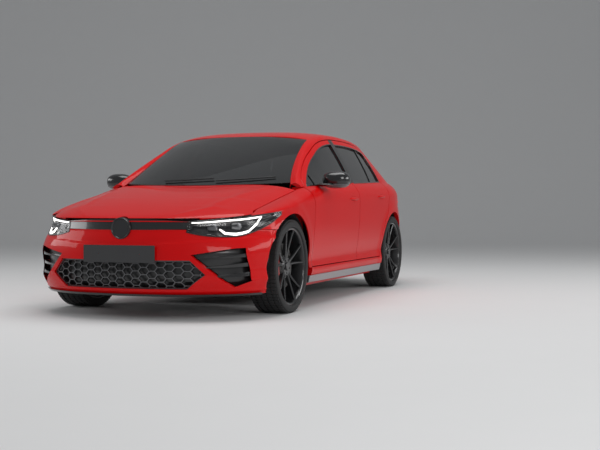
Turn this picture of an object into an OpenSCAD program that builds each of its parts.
// Five-door hatchback car: an assembly of panels, glass, cabin, chassis and wheels.
// Millimetres. +X is forward, +Y is the car's left, +Z is up. The origin is on the
// ground, below the middle of the body's length.

/* [Wheels] */
// Distance between the front and rear axles
wheelbase = 2628; // [2560:1:2700]
// Distance from the body's middle to the front axle
front_axle_x = 1278; // [1250:1:1300]
// Distance between the middles of the left and right wheels
track = 1532; // [1500:1:1560]
// Radius of a tyre
tyre_r = 323.5; // [310:0.5:330]
// Width of a tyre
tyre_w = 225; // [205:1:235]
// Radius of a rim's outer flange
rim_r = 268; // [240:1:275]
// Radius of the wheel arch openings
arch_r = 366; // [360:1:375]

/* [Doors] */
// X of the front edge of the front door
front_door_x = 835; // [820:1:850]
// X of the split between the front and rear doors
middle_split_x = -270; // [-300:1:-240]
// X of the rear edge of the rear door's window frame, at the belt
rear_door_x = -1180; // [-1200:1:-1150]
// Thickness of a door below the belt
door_t = 90; // [70:1:100]
// Thickness of a door's window frame
frame_t = 30; // [26:1:34]
// Width of the window frame seen from the side
frame_w = 38; // [30:1:50]
// Gap around everything that opens
gap = 6.5; // [6:0.5:7]

/* [Panels] */
// Thickness of the hood, the tailgate and the bumpers
panel_t = 28; // [20:1:36]
// Thickness of window glass
glass_t = 5; // [4:0.5:6]
// Height of the underside of the sills above the ground
sill_z = 235; // [225:1:245]
// Height of the doors' bottom edge above the ground
door_z = 300; // [290:1:310]

/* [Hidden] */
$fn = 48;

rear_axle_x = front_axle_x - wheelbase;
hinge_y = 868;
hinge_in = 50;
front_hinge_x = front_door_x - hinge_in;
hood_hinge = [1000, 840];
hood_arm_h = 30;
gate_hinge = [-1577, 1276];
rear_hinge_x = middle_split_x - gap / 2 - hinge_in;
kingpin_y = track / 2 - 20;
red = [0.72, 0.02, 0.03];
black = [0.05, 0.05, 0.055];
grey = [0.35, 0.35, 0.37];
smoke = [0.12, 0.14, 0.15, 0.6];

// ---- Curves of the body -------------------------------------------------------
// Every table runs in rising order of its first column, and value() draws a smooth
// curve through it.

// Plan of the nose: [step, distance behind the tip, half width]
NOSE_PLAN = [
  [0, 0, 0], [1, 8, 150], [2, 33, 300], [3, 75, 430], [4, 138, 545], [5, 218, 650],
  [6, 312, 735], [7, 400, 790], [8, 490, 830], [9, 590, 858], [10, 700, 875], [11, 865, 886]
];
// Plan of the tail: [step, distance ahead of the tip, half width]
TAIL_PLAN = [
  [0, 0, 0], [1, 5, 200], [2, 20, 380], [3, 48, 520], [4, 95, 630], [5, 165, 715],
  [6, 260, 780], [7, 380, 830], [8, 510, 862], [9, 650, 880], [10, 793, 886]
];
full_y = 886;
side_t = 36;
// Profile of the nose on the centreline: [height, x]
NOSE = [[140, 2070], [185, 2105], [235, 2132], [300, 2143], [395, 2140], [490, 2128],
        [560, 2116], [655, 2095], [760, 2075]];
// Profile of the tail on the centreline: [height, x]
TAIL = [[150, -2060], [250, -2128], [400, -2143], [520, -2138], [620, -2112], [720, -2078],
        [850, -2035], [950, -1990], [1090, -1880], [1230, -1740], [1300, -1660]];
// Section of the side below the crest line: [share of the height, half width]
SIDE = [[-0.3, 800], [-0.1, 836], [0, 850], [0.06, 862], [0.13, 857], [0.22, 852], [0.4, 868],
        [0.65, 880], [0.88, 885], [1, 886], [1.2, 880]];
// Crest line along the side: [x, height]
CREST = [[-2100, 838], [-1350, 830], [-600, 812], [0, 793], [830, 758], [1490, 705], [2100, 640]];
// Belt line, which becomes the hood's shut line ahead of the doors: [x, half width, height]
BELT = [[-2000, 800, 965], [-1180, 800, 953], [-600, 815, 934],
        [0, 822, 914], [500, 815, 893], [850, 790, 874], [1100, 762, 822], [1400, 745, 758],
        [1600, 735, 716], [1750, 725, 684]];
// Roof rail, from the tail over the doors and down the windscreen pillar: [x, half width, height]
RAIL = [[-1760, 606, 1180], [-1500, 604, 1243], [-1200, 602, 1286], [-800, 598, 1316], [-400, 596, 1322],
        [-100, 600, 1304], [200, 614, 1236], [400, 634, 1156], [600, 668, 1062], [780, 712, 966],
        [860, 742, 912]];
// Roof on the centreline: [x, height]
ROOF = [[-1800, 1222], [-1500, 1300], [-1100, 1350], [-600, 1374], [-200, 1366], [60, 1338], [300, 1283]];
// Hood on the centreline: [x, height]
HOOD = [[850, 925], [1000, 902], [1250, 862], [1500, 817], [1750, 762], [1950, 707], [2060, 672],
    [2100, 652]];

function find(t, x, i = 0) = i >= len(t) - 2 || x < t[i + 1][0] ? i : find(t, x, i + 1);
function slope(t, i, k) =
  let (a = max(0, i - 1), b = min(len(t) - 1, i + 1)) (t[b][k] - t[a][k]) / (t[b][0] - t[a][0]);
function value(t, x, k = 1) =
  let (i = find(t, x), h = t[i + 1][0] - t[i][0], u = min(1, max(0, (x - t[i][0]) / h)),
       a = slope(t, i, k) * h, b = slope(t, i + 1, k) * h, p = t[i][k], q = t[i + 1][k])
    p + u * (a + u * (3 * (q - p) - 2 * a - b + u * (a + b - 2 * (q - p))));
function mix(a, b, t) = a + (b - a) * t;
function ramp(x, a, b) = max(0, min(1, (x - a) / (b - a)));

// Half width of a plan table at a distance d from the tip
function plan_y(t, d, lo = 0, hi = -1, n = 16) =
  hi < 0 ? (d >= t[len(t) - 1][1] ? full_y : plan_y(t, max(0, d), 0, len(t) - 1, n))
  : let (m = (lo + hi) / 2) n == 0 ? value(t, m, 2) : value(t, m, 1) < d ? plan_y(t, d, m, hi, n - 1) :
      plan_y(t, d, lo, m, n - 1);

function crest_z(x) = value(CREST, x);
function side_share(x, z) = (z - sill_z) / (crest_z(x) - sill_z);
// The nose is squarer low down: the share of NOSE_PLAN's distances at a height
function nose_share(z) = let (u = ramp(z, 430, 640)) mix(0.74, 1, u * u * (3 - 2 * u));
function taper(x, z) =
  x > 600 ? plan_y(NOSE_PLAN, (value(NOSE, z) - x) / nose_share(z)) / full_y
  : x < -600 ? plan_y(TAIL_PLAN, x - value(TAIL, z)) / full_y : 1;
function wheel_flare(x, z) =
  let (a = x > 0 ? front_axle_x : rear_axle_x, d = norm([x - a, z - tyre_r]) - arch_r, u = 1 -
      ramp(d, 0, 110))
    10 * u * u * (3 - 2 * u);
function side_y(x, z) = value(SIDE, side_share(x, z)) * taper(x, z) + wheel_flare(x, z);

// A point of the side's skin, d inside it. t runs 0 to 3 from the sill to the crest line, 3 to 4
// up to the belt, 4 to 5 up to the roof rail and 5 to 6 over it to the roof or windscreen.
function inner_y(x) = value(RAIL, x, 1) * taper(x, value(RAIL, x, 2)) - 44;
function inner_z(x) = value(RAIL, x, 2) + (x > 137 ? mix(19, -21, ramp(x, 137, 795)) : 19);
function side(x, t, d = 0) =
  t <= 3 ? let (z = mix(sill_z, crest_z(x), t / 3)) [x, side_y(x, z) - d, z]
  : t <= 4 ? let (u = t - 3, z3 = crest_z(x), y3 = side_y(x, z3), z4 = value(BELT, x, 2), y4 =
      value(BELT, x, 1) * taper(x, z4),
                  round = ramp(x, 700, 1200), c = mix(0.62, 0.97, round))
      [x, (1 - u * u) * y3 + u * u * y4 - 2 * u * (1 - u) * (y3 - y4) * mix(0.1, 0, round) - d,
       (1 - u) * (1 - u) * z3 + 2 * u * (1 - u) * mix(z3, z4, c) + u * u * z4 - (x > 1000 ? d * u : 0)]
  : t <= 5 ? let (u = t - 4, z4 = value(BELT, x, 2), y4 = value(BELT, x, 1) * taper(x, z4), z5 =
      value(RAIL, x, 2), y5 = value(RAIL, x, 1) * taper(x, z5))
      [x, mix(y4, y5, u) + 4 * u * (1 - u) * 12 - d, mix(z4, z5, u) - d * 0.35 * u]
  : let (u = t - 5, z5 = value(RAIL, x, 2), y5 = value(RAIL, x, 1) * taper(x, z5))
      [x, mix(y5, inner_y(x), u) - d * (1 - u), mix(z5, inner_z(x), u) + 16 * u * (1 - u) - d *
          mix(0.35, 1, u)];
function nose(s, z, d = 0) =
  let (w = value(SIDE, side_share(1500, min(z, 700))) / full_y, k = nose_share(z), x = k *
      value(NOSE_PLAN, s, 1),
       y = value(NOSE_PLAN, s, 2) * w,
       v = [value(NOSE_PLAN, s + 0.02, 2) * w - value(NOSE_PLAN, s - 0.02, 2) * w,
            k * (value(NOSE_PLAN, s + 0.02, 1) - value(NOSE_PLAN, s - 0.02, 1))],
       n = s < 0.05 ? [1, 0] : v / norm(v))
    [value(NOSE, z) - x - d * n[0], y + wheel_flare(value(NOSE, z) - x, z) * ramp(s, 6, 8) - d * n[1], z];
// Half width of the body at a height near the tail
function tail_w(z, lo = 0, hi = 5, n = 12) =
  let (m = (lo + hi) / 2) n == 0 ? tail_section(m)[0] : tail_section(m)[1] < z ? tail_w(z, m, hi, n - 1) :
      tail_w(z, lo, m, n - 1);
function tail_section(t) =
  t <= 3 ? let (z = mix(sill_z, crest_z(-1700), t / 3)) [value(SIDE, side_share(-1700, z)), z]
  : t <= 4 ? let (u = t - 3, z3 = crest_z(-1700), z4 = value(BELT, -1700, 2), y4 = value(BELT, -1700, 1))
      [(1 - u * u) * full_y + u * u * y4 - 2 * u * (1 - u) * (full_y - y4) * 0.1, (1 - u) * (1 - u) * z3 +
          2 * u * (1 - u) * mix(z3, z4, 0.62) + u * u * z4]
  : let (u = t - 4) [mix(value(BELT, -1700, 1), value(RAIL, -1700, 1), u) + 48 * u * (1 - u),
      mix(value(BELT, -1700, 2), 1300, u)];
function tail(s, z, d = 0) =
  let (w = (z < sill_z ? value(SIDE, side_share(-1700, z)) : tail_w(z)) / full_y,
       v = [value(TAIL_PLAN, s + 0.02, 2) * w - value(TAIL_PLAN, s - 0.02, 2) * w,
           value(TAIL_PLAN, s + 0.02, 1) - value(TAIL_PLAN, s - 0.02, 1)],
       n = s < 0.05 ? [1, 0] : v / norm(v))
    [value(TAIL, z) + value(TAIL_PLAN, s, 1) + d * n[0], value(TAIL_PLAN, s, 2) * w - d * n[1], z];

// ---- Solids from grids of points ----------------------------------------------
// Stations along the body and up its section, shared by every panel so that neighbours match
XS = concat([for (x = [-2080:66:-1618]) x], [-1552], [for (x = [-1450:120:1750]) x]);
TS = [-0.9, -0.4, 0, 0.22, 0.45, 0.75, 1.2, 2, 2.7, 3, 3.25, 3.6, 4, 4.5, 5, 5.5, 6];
SS = [0, 1, 2, 2.8, 3.5, 4.2, 5, 5.8, 6.6, 7.4, 8.2, 9, 9.6, 10];
function within(list, a, b) = let (lo = min(a, b), hi = max(a, b), m = (hi - lo) * 0.02, mid =
    [for (v = list) if (v > lo + m && v < hi - m) v], up = concat([lo], mid, [hi]))
  a < b ? up : [for (i = [len(up) - 1:-1:0]) up[i]];
function two(a, b, c, d) = [[a, b, c], [a, c, d]];
// A closed shell between two sheets of points, each nu by nv cells
module shell(nu, nv, one, other) {
  n = (nu + 1) * (nv + 1);
  function at(i, j) = i * (nv + 1) + j;
  m = at(floor(nu / 2), floor(nv / 2));
  turned = cross(one[m + nv + 1] - one[m], one[m + 1] - one[m]) * (one[m] - other[m]) > 0;
  faces = concat(
    [for (i = [0:nu - 1]) for (j = [0:nv - 1]) let (a = at(i, j), b = at(i + 1, j), e = at(i + 1, j + 1), d
        = at(i, j + 1))
      each concat(two(a, b, e, d), two(n + a, n + d, n + e, n + b))],
    [for (j = [0:nv - 1]) each concat(two(at(0, j), at(0, j + 1), n + at(0, j + 1), n + at(0, j)),
      two(at(nu, j), n + at(nu, j), n + at(nu, j + 1), at(nu, j + 1)))],
    [for (i = [0:nu - 1]) each concat(two(at(i, 0), n + at(i, 0), n + at(i + 1, 0), at(i + 1, 0)),
      two(at(i, nv), at(i + 1, nv), n + at(i + 1, nv), n + at(i, nv)))]);
  polyhedron(points = concat(one, other), faces = turned ? [for (f = faces) [f[0], f[2], f[1]]] : faces,
      convexity = 8);
}
module sheets(us, vs, one, other) shell(len(us) - 1, len(vs) - 1, [for (u = us) for (v = vs) one(u, v)],
    [for (u = us) for (v = vs) other(u, v)]);
module both() {
  children();
  mirror([0, 1, 0]) children();
}
// Turns everything inside into one mesh
module mesh() {
  resize([0, 0, 0]) union() children();
}
// The left side's wall between two depths under the skin, from x0 to x1 and t0 up to t1
module wall(x0, x1, t0, t1, d0, d1)
  sheets(within(XS, x0, x1), within(TS, t0, t1), function (x, t) side(x, t, d0), function (x, t)
      side(x, t, d1));
// The same with depths that change at the belt
module wall_step(x0, x1, t0, t1, low, high)
  sheets(within(XS, x0, x1), within(TS, t0, t1), function (x, t)
      side(x, t, mix(low[0], high[0], ramp(t, 3.45, 4))), function (x, t)
      side(x, t, mix(low[1], high[1], ramp(t, 3.45, 4))));
module nose_wall(s0, s1, z0, z1, d0, d1, nz = 8)
  sheets(within(SS, s0, s1), [for (j = [0:nz]) mix(z0, z1, j / nz)], function (s, z) nose(s, z, d0),
      function (s, z) nose(s, z, d1));
module tail_wall(s0, s1, z0, z1, d0, d1, nz = 8)
  sheets(within(SS, s0, s1), [for (j = [0:nz]) mix(z0, z1, j / nz)], function (s, z) tail(s, z, d0),
      function (s, z) tail(s, z, d1));
// Prisms from outlines drawn in a side view (x, z), on the left only, and in a front view (y, z)
module from_side(y0 = 200, y1 = 1200) translate([0, y1, 0]) rotate([90, 0, 0]) linear_extrude(y1 - y0)
    children();
module from_front(x0, x1) translate([x0, 0, 0]) rotate([90, 0, 90]) linear_extrude(x1 - x0) children();
module arch_cut(x, r = arch_r) translate([x, 500, tyre_r]) rotate([-90, 0, 0])
    cylinder(r = r, h = 600, $fn = 56);

// ---- Outlines, side view ------------------------------------------------------
module front_door_2d() polygon([[front_door_x, door_z], [front_door_x + 4, 500], [front_door_x + 2, 700],
    [front_door_x - 4, 830],
  [front_door_x - 18, 884], [780, 932], [690, 986], [600, 1034], [500, 1084], [400, 1128], [300, 1168],
      [200, 1207], [100, 1239], [0, 1262], [-100, 1278],
  [-200, 1288], [middle_split_x + gap / 2, 1292], [middle_split_x + gap / 2, door_z]]);
module rear_door_2d() polygon(concat([[middle_split_x - gap / 2, door_z], [middle_split_x - gap / 2, 1293],
    [-400, 1296], [-600, 1297], [-800, 1291], [-950, 1280], [-1060, 1266],
  [-1110, 1250], [-1145, 1210], [-1168, 1120], [rear_door_x + 2, 1020], [rear_door_x, 940],
      [rear_door_x + 8, 840], [rear_door_x + 25, 750], [rear_door_x + 58, 672]],
  [for (a = [48:-8:0]) [rear_axle_x + (arch_r + 46) * cos(a), tyre_r + (arch_r + 46) * sin(a)]],
      [[rear_axle_x + arch_r + 50, door_z]]));
module above_belt_2d(up = 12) polygon(concat([for (x = [1000:-100:-1400]) [x, value(BELT, x, 2) + up]],
    [[-1400, 1500], [1000, 1500]]));
module door_2d(rear) {
  if (rear) rear_door_2d();
  else front_door_2d();
}
module window_2d(rear) {
  if (rear) rear_window_2d();
  else front_window_2d();
}
module front_window_2d() intersection() {
  offset(delta = -frame_w) front_door_2d();
  above_belt_2d();
}
module rear_window_2d() intersection() {
  offset(delta = -frame_w - 4) rear_door_2d();
  above_belt_2d();
}
module fender_2d() polygon(concat([for (x = [1760:-40:900]) [x, 1000]],
    [[front_door_x + gap, 1000], [front_door_x + gap, 294], [1000, 294], [1000, 320],
  [1611.6, 320], [1611.6, 585], [1760, 585]]));
module bumper_side_2d() polygon([[1612, 100], [2300, 100], [2300, 900], [1700, 900], [1700, 582],
    [1612, 582]]);
module rear_bumper_2d() polygon([[-2400, 100], [rear_axle_x - 300, 100], [rear_axle_x - 300, 560],
    [-1700, 596], [-2000, 604], [-2400, 604]]);

// ---- Body -----------------------------------------------------------------------
module door_holes() from_side() {
  offset(delta = gap) front_door_2d();
  offset(delta = gap) rear_door_2d();
}
module body_side() difference() {
  union() {
    wall(872, -1618, 0, 6, 0, side_t);
    wall(-1618, -2080, 0, 5, 0, side_t);
  }
  door_holes();
  arch_cut(rear_axle_x);
  from_side() rear_bumper_2d();
  from_side() polygon([[front_door_x, 294], [1200, 294], [1200, 700], [900, 874], [front_door_x, 883]]);
  translate([848, 0, 0]) cube([400, 1200, 300]);
  from_front(-2400, -1500) tailgate_2d(gap);
  from_front(-2400, -1559) tail_lamp_2d(0.3);
  translate([-2400, -100, 0]) cube([840, 480, 1400]);
  translate([-2400, -100, 0]) cube([600, 710, 616]);
}
// Sill boxes, hinge posts, middle pillars and rear posts, just inside the body's sides
module inner_frame() color(red) mesh() both() {
  translate([-965, 690.3, 150]) cube([1850, 69, 140]);
  translate([-965, 700, 241]) cube([1800, 108, 45]);
  translate([815, 700, 280]) cube([65, 80, 575]);
  translate([842, 712, 850]) cube([20, 58, 28.5]);
  wall_step(-225, -335, 0.12, 5, [98, 150], [46, 80]);
  intersection() {
    wall_step(-1210, -1330, 2, 4.5, [side_t + 0.7, 110], [side_t + 0.7, 66]);
    translate([-2000, 0, 700]) cube([2000, 1200, 800]);
  }
}
// Arms from the posts to the doors' hinge pins
hinge_z = [600, 752];
function post_y(x, z) = x > 0 ? 740 : side_y(x, z + 4) - 97.3;
module door_hinges() color(grey) both() {
  for (x = [front_hinge_x, rear_hinge_x], z = hinge_z) {
    translate([x - 10, post_y(x, z), z]) cube([8, hinge_y - post_y(x, z), 8]);
    translate([x - 10, hinge_y - 5, z]) cube([10, 10, 8]);
    translate([x, hinge_y, z]) cylinder(r = 5, h = 8);
    translate([x, hinge_y, z]) cylinder(r = 4, h = 30);
  }
  for (z = hinge_z) {
    translate([front_hinge_x - 10, 740, z]) cube([39.7, 30, 8]);
    translate([rear_hinge_x - 10, post_y(rear_hinge_x, z), z]) cube([30, 10, 8]);
  }
}
module body_sides() color(red) mesh() both() body_side();

module roof_panel() {
  xs = within(XS, 137, -1552);
  nx = len(xs) - 1;
  nu = 12;
  function pt(i, j, d) = let (w = xs[i], v = (w + 1552) / 1689, u = mix(-1, 1, j / nu), x = w + 78 *
      (1 - u * u) * v * v,
      e = inner_z(w), y = inner_y(w) - 0.6)
    [x - (i == 0 ? 2.9 : 0), u * y, mix(value(ROOF, x), e, u * u * (0.5 + 0.5 * u * u)) - d];
  color(red) {
    mesh() {
      shell(nx, nu, [for (i = [0:nx]) for (j = [0:nu]) pt(i, j, 28)],
          [for (i = [0:nx]) for (j = [0:nu]) pt(i, j, 0)]);
      // Rear header with brackets for the tailgate's hinge pins
      translate([-1588, -330, 1224]) cube([40, 660, 22]);
      translate([-1552, -330, 1224]) cube([40, 660, 42]);
      both() translate([gate_hinge[0] - 6, 180, 1240]) cube([5, 20, 38]);
    }
    both() translate([gate_hinge[0], 180, gate_hinge[1]]) rotate([-90, 0, 0]) cylinder(r = 5, h = 20);
    both() translate([gate_hinge[0], 180, gate_hinge[1]]) rotate([-90, 0, 0]) cylinder(r = 4, h = 40);
  }
}
module windscreen() {
  xs = within(XS, 825, 137);
  nv = len(xs) - 1;
  nu = 12;
  function pt(i, j, d) = let (x1 = xs[i], v = (825 - x1) / 688, u = mix(-1, 1, j / nu), e =
      [x1, inner_y(x1) - 0.95, inner_z(x1)],
      c = [mix(1008, 215, v) + 30 * v * (1 - v), mix(897, value(ROOF, 215), v) + 60 * v * (1 - v)], q = u *
          u * (0.6 + 0.4 * u * u))
    [mix(c[0], e[0], i == nv ? u * u : q) - 0.45 * d, u * e[1],
        mix(c[1], e[2], i == nv ? u * u * (0.5 + 0.5 * u * u) : q) - 0.9 * d];
  color(smoke) mesh() shell(nv, nu, [for (i = [0:nv]) for (j = [0:nu]) pt(i, j, 0)],
      [for (i = [0:nv]) for (j = [0:nu]) pt(i, j, glass_t)]);
}
module front_fenders() color(red) mesh() both() {
  difference() {
    wall(front_door_x + gap, 1760, 0.2, 4, 8, 0);
    arch_cut(front_axle_x);
    from_side() difference() {
      square(6000, center = true);
      fender_2d();
    }
    lamp_cut();
    hood_space();
  }
  translate([850, 780.3, 620]) cube([25, 100, 80]);
}
// Left headlamp, as a patch of the nose between two lines, d deep and grown by g
module lamp(d0, d1, g) {
  ns = 10;
  nz = 3;
  LOW = [[2.7, 586], [3.2, 566], [4, 548], [5, 540], [6, 545], [7, 572], [8, 612], [9.3, 686]];
  HIGH = [[2.7, 640], [4, 650], [5, 660], [6, 672], [7, 683], [8, 693], [9.3, 706]];
  function pt(i, j, d) = let (s = mix(9.25 + g / 60, 3.06 - g / 90, i / ns))
      nose(s, mix(value(LOW, s) - g, value(HIGH, s) + g, j / nz), d);
  shell(ns, nz, [for (i = [0:ns]) for (j = [0:nz]) pt(i, j, d1)],
      [for (i = [0:ns]) for (j = [0:nz]) pt(i, j, d0)]);
}
module lamp_cut() lamp(-60, 95, 1.6);
module headlamps() color([0.8, 0.85, 0.9]) mesh() both() lamp(1, 70, 0);
module upper_grille_2d(g) offset(delta = g) polygon([[-462, 592], [-452, 642], [-200, 654], [0, 656],
    [200, 654], [452, 642], [462, 592], [200, 587], [0, 586], [-200, 587]]);
module lower_grille_2d(g) offset(delta = g) polygon([[-560, 300], [-470, 393], [470, 393], [560, 300],
    [445, 207], [-445, 207]]);
module intake_2d(g) offset(delta = g) polygon([[474, 427], [715, 468], [765, 470], [790, 255], [702, 216]]);
module front_bumper() color(red) mesh() {
  difference() {
    both() nose_wall(0, 9, 165, 588, 0, panel_t, 10);
    from_front(1800, 2300) upper_grille_2d(0.3);
    from_front(1800, 2300) lower_grille_2d(0.3);
    both() from_front(1500, 2300) intake_2d(0.3);
    both() arch_cut(front_axle_x);
    both() lamp_cut();
    emblem(70.3);
    both() from_side() difference() {
      translate([1000, 0]) square([800, 1000]);
      bumper_side_2d();
    }
    // Flat seat of the number plate
    translate([2136, -262, 374]) cube([100, 524, 116]);
    for (y = [-150, 150]) translate([2085, y, 432]) rotate([0, 90, 0]) cylinder(r = 3.2, h = 60, $fn = 12);
  }
  translate([2050.3, -80, 450]) cube([60, 160, 60]);
  // Splitter
  difference() {
    both() nose_wall(0, 8.7, 158, 172, -14, 60, 1);
    both() arch_cut(front_axle_x);
  }
}
module lower_grille() color(black) mesh() {
  intersection() {
    both() nose_wall(0, 6, 190, 420, 26, 44, 4);
    from_front(1500, 2300) lower_grille_2d(-0.1);
  }
  intersection() {
    both() nose_wall(0, 6, 190, 420, 10, 36, 4);
    from_front(1500, 2300) difference() {
      lower_grille_2d(-0.1);
      lower_grille_2d(-10);
    }
  }
  both() intersection() {
    nose_wall(3, 9, 190, 500, 26, 44, 4);
    from_front(1400, 2300) intake_2d(-0.1);
  }
  both() intersection() {
    nose_wall(3, 9, 190, 500, 10, 36, 4);
    from_front(1400, 2300) difference() {
      intake_2d(-0.1);
      intake_2d(-8);
    }
  }
}
module emblem(r) translate([2090, 0, 596]) rotate([0, 90, 0]) cylinder(r = r, h = 30);
module upper_grille() color(black) mesh() {
  difference() {
    intersection() {
      both() nose_wall(0, 4, 575, 665, 4, 40, 2);
      from_front(1800, 2300) upper_grille_2d(0);
    }
    both() lamp_cut();
  }
  emblem(70);
}
function hood_edge(v) =
  let (x = mix(962, 1640, min(1, v / 0.72)), s = mix(6.75, 3.3, (v - 0.72) / 0.28))
    v <= 0.72 ? [x, value(BELT, x, 1) - 6, value(BELT, x, 2)] : nose(s, 662, 6);
// What the hood needs free beside it, seen from above
module hood_space() translate([0, 0, 600]) linear_extrude(500)
  polygon(concat([[955, 0]], [for (j = [0:9]) [j == 0 ? 955 : hood_edge(j / 12)[0], hood_edge(j / 12)[1] +
      gap]], [[1800, 770], [1800, 0]]));
module hood() {
  nx = 12;
  nu = 12;
  function pt(i, j, d) = let (v = i / nx, u = mix(-1, 1, j / nu), e = hood_edge(v), c = mix(1070, 2088, v),
      q = u * u * (0.55 + 0.45 * u * u),
       fall = u * u * (0.15 + 0.85 * pow(u, 4)), crown = 36 * u * u * (1 - u * u) * (1 - v))
    [mix(c, e[0], v > 0.5 ? q : u * u), u * e[1], mix(value(HOOD, c), e[2] + 2, fall) + crown - d];
  color(red) mesh() {
    difference() {
      shell(nx, nu, [for (i = [0:nx]) for (j = [0:nu]) pt(i, j, 16)],
          [for (i = [0:nx]) for (j = [0:nu]) pt(i, j, 0)]);
      both() lamp(-60, 95, gap);
      emblem(70 + gap);
      // Clear of the black bar below the front edge
      translate([1900, -500, 500]) cube([300, 1000, 161]);
    }
    both() difference() {
      union() {
        translate([hood_hinge[0], 640, hood_hinge[1]]) rotate([-90, 0, 0])
            cylinder(r = 8, h = 30, $fn = 16);
        translate([hood_hinge[0], 640, hood_hinge[1] - 6]) cube([60, 30, hood_arm_h]);
      }
      translate([hood_hinge[0], 630, hood_hinge[1]]) rotate([-90, 0, 0])
          cylinder(r = 5.17, h = 50, $fn = 16);
    }
  }
}
module side_skirts() color(grey) mesh() both() difference() {
  wall(895, -965, -0.29, -0.002, -6, 60);
  arch_cut(front_axle_x);
  arch_cut(rear_axle_x);
  translate([-1100, 0, 149.7]) cube([2200, 760, 200]);
}

// ---- Tail -----------------------------------------------------------------------
module tailgate_2d(g) offset(delta = g) polygon([[-560, 612], [-590, 640], [-600, 700], [-600, 850],
    [-560, 960], [-505, 1090], [-455, 1185], [-440, 1400], [440, 1400], [455, 1185], [505, 1090],
    [560, 960],
  [600, 850], [600, 700], [590, 640], [560, 612]]);
module rear_glass_2d(g) offset(delta = g) polygon([[-500, 968], [-455, 1090], [-400, 1200], [0, 1212],
    [400, 1200], [455, 1090], [500, 968], [0, 950]]);
module tail_lamp_2d(g) offset(delta = g) polygon([[390, 735], [400, 830], [600, 846], [800, 842],
    [900, 820], [900, 745], [780, 700], [600, 705]]);
module tailgate() color(red) {
  gate_knuckles();
  mesh() gate_panel();
}
module gate_panel() {
  difference() {
    union() {
      intersection() {
        both() tail_wall(0, 6, 612, 1262, 0, panel_t, 10);
        from_front(-2300, -1500) tailgate_2d(0);
      }
      // Roof spoiler
      difference() {
        spoiler();
        from_front(-2400, -1500) difference() {
          square(4000, center = true);
          tailgate_2d(0);
        }
      }
    }
    from_front(-2300, -1800) rear_glass_2d(0.3);
    rear_plate_place() translate([-60, -262, -3]) cube([60, 524, 118]);
    both() translate([gate_hinge[0], 172, gate_hinge[1]]) rotate([-90, 0, 0])
        cylinder(r = 10, h = 52, $fn = 16);
    both() translate([gate_hinge[0] - 16, 172, 1225]) cube([40, 28.2, 51]);
    both() intersection() {
      tail_wall(2, 9, 690, 860, -20, 45, 3);
      from_front(-2300, -1600) tail_lamp_2d(0.3);
    }
  }
}
module gate_knuckles() both() difference() {
  union() {
    translate([gate_hinge[0], 200.3, gate_hinge[1]]) rotate([-90, 0, 0]) cylinder(r = 7, h = 20);
    translate([gate_hinge[0] - 45, 200.3, gate_hinge[1] - 6]) cube([45, 20, 8]);
  }
  translate([gate_hinge[0], 190, gate_hinge[1]]) rotate([-90, 0, 0]) cylinder(r = 4.05, h = 50);
}
module spoiler() {
  nx = 8;
  nu = 12;
  function pt(i, j, d) = let (w = mix(-1563, -1822, i / nx), u = mix(-1, 1, j / nu), x = w + 40 * u * u * i
      / nx, y = mix(inner_y(-1560), 500, i / nx))
    [x, u * y, mix(value(ROOF, w), inner_z(-1560) - (i / nx) * 74, u * u * (0.5 + 0.5 * u * u)) - d];
  shell(nx, nu, [for (i = [0:nx]) for (j = [0:nu]) pt(i, j, i / nx < 0.2 ? 14 : 36 - 18 * i / nx)],
      [for (i = [0:nx]) for (j = [0:nu]) pt(i, j, 0)]);
}
module tailgate_glass() color(smoke) mesh() intersection() {
  both() tail_wall(0, 6, 930, 1230, 6, 11, 5);
  from_front(-2300, -1800) rear_glass_2d(0);
}
module tail_lamps() color([0.5, 0.02, 0.02]) mesh() both() difference() {
  intersection() {
    tail_wall(3, 9.5, 690, 860, 0, 40, 3);
    from_front(-2300, -1560) tail_lamp_2d(0);
  }
  from_front(-2400, -1500) tailgate_2d(gap);
}
module tailgate_lamps() color([0.5, 0.02, 0.02]) mesh() both() intersection() {
  tail_wall(2, 7, 690, 860, 0, 40, 3);
  from_front(-2300, -1560) tail_lamp_2d(0);
  from_front(-2400, -1500) tailgate_2d(0);
}
module rear_bumper() color(red) mesh() {
  difference() {
    both() tail_wall(0, 9.5, 260, 604, 0, panel_t, 6);
    both() arch_cut(rear_axle_x);
    both() from_side(400) difference() {
      translate([-2400, 0]) square([1400, 1000]);
      offset(delta = -0.3) rear_bumper_2d();
    }
  }
  translate([-2110, -80, 450]) cube([60, 160, 60]);
}
module rear_valance() color(black) mesh() {
  difference() {
    both() tail_wall(0, 8.6, 165, 259.7, 4, panel_t + 10, 2);
    both() arch_cut(rear_axle_x);
    both() translate([-2200, 470, 218]) rotate([0, 90, 0]) cylinder(r = 38.6, h = 400);
  }
}

// ---- Doors ------------------------------------------------------------------------
module barrels(x) for (z = hinge_z) difference() {
  union() {
    translate([x, hinge_y, z + 8.3]) cylinder(r = 7, h = 20);
    translate([x - 45, hinge_y - 5, z + 8.3]) cube([45, 10, 20]);
  }
  translate([x, hinge_y, z]) cylinder(r = 4.05, h = 40);
}
module door_left(rear, x0, x1, hx) {
  difference() {
    union() {
      intersection() {
        wall(x0, x1, 0.1, 5, 10, 0);
        from_side() door_2d(rear);
      }
      intersection() {
        wall_step(x0, x1, 0.1, 5, [door_t, 3], [frame_t, 3]);
        from_side() intersection() {
          union() {
            offset(delta = -20) door_2d(rear);
            intersection() {
              offset(delta = -2) door_2d(rear);
              above_belt_2d(-20);
            }
          }
          union() {
            translate([-2000, 0]) square([2000 + hx - 32, 880]);
            translate([-2000, 870]) square([4000, 900]);
          }
        }
      }
    }
    from_side() window_2d(rear);
    for (z = hinge_z) translate([hx, hinge_y, z - 0.5]) cylinder(r = 9, h = 32, $fn = 16);
    for (z = hinge_z) translate([hx - 14, 700, z - 4]) cube([20, hinge_y - 693.5, 14]);
  }
}
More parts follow.
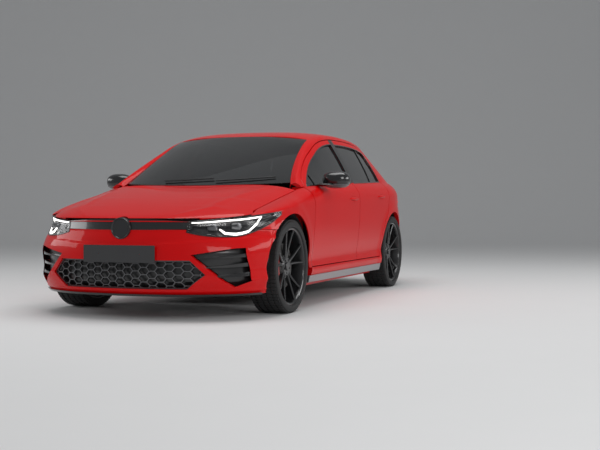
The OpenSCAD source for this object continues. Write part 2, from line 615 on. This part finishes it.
module front_door_l() {
  barrels(front_hinge_x);
  mesh() {
  door_left(false, front_door_x + 1, middle_split_x + 2, front_hinge_x);
  // Handle
  translate([-100, 0, 800]) intersection() {
    translate([-115, 860, -14]) cube([210, 60, 28]);
    translate([-10, 880, 0]) scale([1, 0.28, 0.16]) sphere(r = 100, $fn = 16);
  }
}
}
module rear_door_l() {
  barrels(rear_hinge_x);
  mesh() {
  door_left(true, middle_split_x - 2, -1190, rear_hinge_x);
  translate([-900, 0, 822]) intersection() {
    translate([-115, 860, -14]) cube([210, 60, 28]);
    translate([-10, 878, 0]) scale([1, 0.28, 0.16]) sphere(r = 100, $fn = 16);
  }
}
}
module front_glass_l() mesh() intersection() {
  wall(760, -250, 3.7, 4.9, 12 + glass_t, 12);
  from_side() offset(delta = -0.2) front_window_2d();
}
module rear_glass_l() mesh() intersection() {
  wall(-260, -1190, 3.7, 4.9, 12 + glass_t, 12);
  from_side() offset(delta = -0.2) rear_window_2d();
}
module mirror_l() mesh() {
  difference() {
    translate([500, 935, 940]) scale([0.74, 1, 0.63]) sphere(r = 106, $fn = 16);
    translate([300, 800, 800]) cube([150, 400, 400]);
  }
  difference() {
    hull() {
      translate([520, 860, 888]) cube([60, 50, 14]);
      translate([560, 790, 885]) cube([60, 60, 12]);
    }
    wall(680, 480, 2.7, 4.9, 160, -0.3);
  }
}
module front_door_left() color(red) front_door_l();
module front_door_right() color(red) mirror([0, 1, 0]) front_door_l();
module rear_door_left() color(red) rear_door_l();
module rear_door_right() color(red) mirror([0, 1, 0]) rear_door_l();
module front_glass_left() color(smoke) front_glass_l();
module front_glass_right() color(smoke) mirror([0, 1, 0]) front_glass_l();
module rear_glass_left() color(smoke) rear_glass_l();
module rear_glass_right() color(smoke) mirror([0, 1, 0]) rear_glass_l();
module mirror_left() color(black) mirror_l();
module mirror_right() color(black) mirror([0, 1, 0]) mirror_l();

// ---- Floor, cabin and chassis ---------------------------------------------------
module floor_pan() color(grey) {
  difference() {
    union() {
      translate([-960, -689.7, 160]) cube([1842, 1379.4, 12]);
      translate([870, -689.7, 172]) cube([12, 1379.4, 640]);
      translate([-900, -110, 172]) cube([1770, 220, 110]);
      translate([882, -640, 790]) cube([110, 1280, 12]);
      translate([980, -640, 802]) cube([12, 1280, 24]);
      for (s = [-1, 1]) scale([1, s, 1]) {
        translate([900, 600, 780]) cube([hood_hinge[0] - 892, 39.5, 22]);
        translate([hood_hinge[0] - 8, 620, 780]) cube([16, 19.5, hood_hinge[1] - 780]);
        translate([hood_hinge[0], 620, hood_hinge[1]]) rotate([-90, 0, 0]) cylinder(r = 8, h = 19.5);
        translate([hood_hinge[0], 620, hood_hinge[1]]) rotate([-90, 0, 0]) cylinder(r = 5, h = 49);
      }
      // Rear seat step and load floor
      translate([-962, -560, 160]) cube([12, 1120, 290]);
      translate([-2040, -555, 438]) cube([1090, 1110, 12]);
      translate([-2049.6, -490, 300]) cube([12, 980, 250]);
      for (s = [-1, 1]) scale([1, s, 1]) difference() {
        translate([rear_axle_x, 548, tyre_r]) rotate([-90, 0, 0]) cylinder(r = arch_r + 6, h = 225);
        translate([rear_axle_x, 555, tyre_r]) rotate([-90, 0, 0]) cylinder(r = arch_r, h = 300);
        translate([rear_axle_x - 500, 500, -200]) cube([1000, 400, 545]);
      }
    }
    translate([-870, -90, 150]) cube([1700, 180, 120]);
  }
}
module dashboard() color(black) {
  translate([640, -680, 740]) cube([230, 1360, 80]);
  translate([700, -680, 640]) cube([170, 1360, 100]);
  translate([560, -110, 620]) cube([200, 220, 130]);
  translate([600, 280, 820]) cube([140, 200, 40]);
  wheel_place() {
    translate([0, 0, -220]) cylinder(r = 26, h = 188);
    translate([0, 0, -40]) cylinder(r = 12, h = 34);
  }
}
module seat(w) {
  translate([0, -w / 2, 0]) cube([500, w, 130]);
  translate([20, 0, 110]) rotate([0, -22, 0]) {
    translate([-110, -w / 2, 0]) cube([110, w, 610]);
    translate([-95, -120, 590]) cube([80, 240, 170]);
  }
}
module front_seats() color(black) mesh() for (s = [-1, 1]) {
  translate([-120, s * 370, 330]) seat(500);
  for (x = [-80, 260], y = [-200, 200]) translate([x, s * 370 + y - 15, 172.3]) cube([60, 30, 160]);
}
module rear_seat() color(black) {
  translate([-930, -560, 450.3]) cube([500, 1120, 80]);
  translate([-918, -560, 282.3]) cube([480, 1120, 169]);
  translate([-1030, -520, 450.4]) rotate([0, -18, 0]) cube([120, 1040, 560]);
}
module engine_block() color(grey) {
  translate([1020, -400, 260]) cube([560, 640, 480]);
  translate([1060, 240, 280]) cube([320, 160, 300]);
}
module exhaust() color(grey) {
  for (s = [-1, 1]) scale([1, s, 1]) translate([-2090, 470, 218]) rotate([0, 90, 0]) difference() {
    cylinder(r = 38, h = 160);
    translate([0, 0, -1]) cylinder(r = 34, h = 150);
  }
  translate([-1935, -520, 190]) cube([180, 1040, 109.7]);
}
// Blank number plates: the front one has two screw holes
plate_w = 520;
module number_plate_front() color(grey) difference() {
  translate([2136.3, -plate_w / 2, 376]) cube([4, plate_w, 112]);
  for (y = [-150, 150]) translate([2130, y, 432]) rotate([0, 90, 0]) cylinder(r = 2.75, h = 20);
}
module rear_plate_place() translate([-2096.5, 0, 662]) rotate([0, 18.74, 0]) children();
module number_plate_rear() color(grey) rear_plate_place() translate([-4.3, -plate_w / 2, 0])
    cube([4, plate_w, 112]);
module front_subframe() color(black) {
  for (s = [-1, 1]) scale([1, s, 1]) {
    translate([882.3, 430, 380]) cube([1100, 40, 90]);
    translate([1180, 430, 470]) cube([200, 40, 270]);
    translate([1180, 430, 740]) cube([200, 170, 12]);
    // Strut, upper and lower arms
    translate([1278, 552, 430]) cylinder(r = 26, h = 310);
    translate([1248, 520, 470]) cube([60, 50, 22]);
    translate([1262, 560, 470]) cube([32, kingpin_y - 560, 18]);
    translate([1278, kingpin_y, 456]) cylinder(r = 12, h = 32);
    translate([1248, 400, 176]) cube([60, kingpin_y - 400, 18]);
    translate([1278, kingpin_y, 176]) cylinder(r = 30, h = 18);
    translate([1278, kingpin_y, 190]) cylinder(r = 12, h = 32);
  }
  translate([1975, -480, 430]) cube([30, 960, 90]);
  translate([2000, -80, 430]) cube([50, 160, 90]);
  translate([1150, -420, 176]) cube([260, 840, 60]);
  for (s = [-1, 1]) translate([1180, s * 430 - 20, 200]) cube([160, 40, 200]);
  translate([1000, -430, 240]) cube([600, 860, 19.7]);
}
module rear_axle() color(black) {
  translate([rear_axle_x + 60, -600, 260]) cube([60, 1200, 60]);
  for (s = [-1, 1]) scale([1, s, 1]) {
    translate([rear_axle_x - 40, 570, 250]) cube([500, 50, 80]);
    translate([rear_axle_x, 590, tyre_r]) rotate([-90, 0, 0]) cylinder(r = 45, h = 60);
    translate([rear_axle_x, 590, tyre_r]) rotate([-90, 0, 0]) cylinder(r = 20, h = 240);
    translate([rear_axle_x + 400, 470, 172.3]) cube([30, 150, 157.7]);
    translate([rear_axle_x - 40, 480, 330]) cylinder(r = 30, h = 107.7);
    translate([rear_axle_x - 70, 480, 262]) cube([60, 110, 68]);
  }
}
module knuckle_l() {
  difference() {
    union() {
      translate([1278, kingpin_y, 194.3]) cylinder(r = 24, h = 275.4);
      translate([1278, kingpin_y, tyre_r]) rotate([-90, 0, 0]) cylinder(r = 40, h = 20);
      translate([1278, kingpin_y, tyre_r]) rotate([-90, 0, 0]) cylinder(r = 20, h = 90);
    }
    translate([1278, kingpin_y, 190]) cylinder(r = 12.05, h = 33);
    translate([1278, kingpin_y, 455]) cylinder(r = 12.05, h = 33);
  }
}
module knuckle_left() color(grey) knuckle_l();
module knuckle_right() color(grey) mirror([0, 1, 0]) knuckle_l();
module wheel_place() translate([480, 370, 840]) rotate([0, -65, 0]) children();
module steering_wheel() color(black) wheel_place() difference() {
  union() {
    rotate_extrude($fn = 64) translate([175, 0]) circle(r = 14, $fn = 24);
    translate([0, 0, -27]) cylinder(r = 45, h = 37);
    translate([-170, -15, -10]) cube([340, 30, 14]);
  }
  translate([0, 0, -40]) cylinder(r = 12.2, h = 38);
}

// ---- Wheels ---------------------------------------------------------------------
module tyre() rotate_extrude($fn = 96) polygon([[rim_r, -tyre_w / 2 + 12], [rim_r + 20, -tyre_w / 2],
    [tyre_r - 18, -tyre_w / 2 + 2], [tyre_r, -tyre_w / 2 + 18], [tyre_r, tyre_w / 2 - 18],
  [tyre_r - 18, tyre_w / 2 - 2], [rim_r + 20, tyre_w / 2], [rim_r, tyre_w / 2 - 12]]);
module rim() difference() {
  union() {
    difference() {
      cylinder(r = rim_r - 0.1, h = tyre_w - 26, center = true);
      cylinder(r = rim_r - 14, h = 400, center = true);
    }
    for (k = [0:4], s = [-9, 9]) rotate([0, 0, 72 * k + s]) translate([20, -9, 60])
        cube([rim_r - 30, 18, 24]);
    translate([0, 0, 40]) cylinder(r = 70, h = 50);
    translate([0, 0, 14]) cylinder(r = 156, h = 24);
    translate([0, 0, 14]) cylinder(r = 80, h = 40);
  }
  translate([0, 0, -100]) cylinder(r = 20.05, h = 170.35);
}
module wheel_at(x, y) translate([x, y, tyre_r]) rotate([y > 0 ? -90 : 90, 0, 0]) children();
module tyre_front_left() color(black) wheel_at(front_axle_x, track / 2) tyre();
module tyre_front_right() color(black) wheel_at(front_axle_x, -track / 2) tyre();
module tyre_rear_left() color(black) wheel_at(rear_axle_x, track / 2) tyre();
module tyre_rear_right() color(black) wheel_at(rear_axle_x, -track / 2) tyre();
module rim_front_left() color(grey) wheel_at(front_axle_x, track / 2) rim();
module rim_front_right() color(grey) wheel_at(front_axle_x, -track / 2) rim();
module rim_rear_left() color(grey) wheel_at(rear_axle_x, track / 2) rim();
module rim_rear_right() color(grey) wheel_at(rear_axle_x, -track / 2) rim();

floor_pan();
body_sides();
inner_frame();
roof_panel();
front_bumper();
lower_grille();
upper_grille();
front_fenders();
headlamps();
windscreen();
side_skirts();
rear_bumper();
rear_valance();
tail_lamps();
dashboard();
front_seats();
rear_seat();
engine_block();
exhaust();
front_subframe();
rear_axle();
hood();
tailgate();
tailgate_glass();
tailgate_lamps();
front_door_left();
front_glass_left();
mirror_left();
front_door_right();
front_glass_right();
mirror_right();
rear_door_left();
rear_glass_left();
rear_door_right();
rear_glass_right();
knuckle_left();
knuckle_right();
steering_wheel();
tyre_front_left();
tyre_front_right();
tyre_rear_left();
tyre_rear_right();
rim_front_left();
rim_front_right();
rim_rear_left();
rim_rear_right();
door_hinges();
number_plate_front();
number_plate_rear();
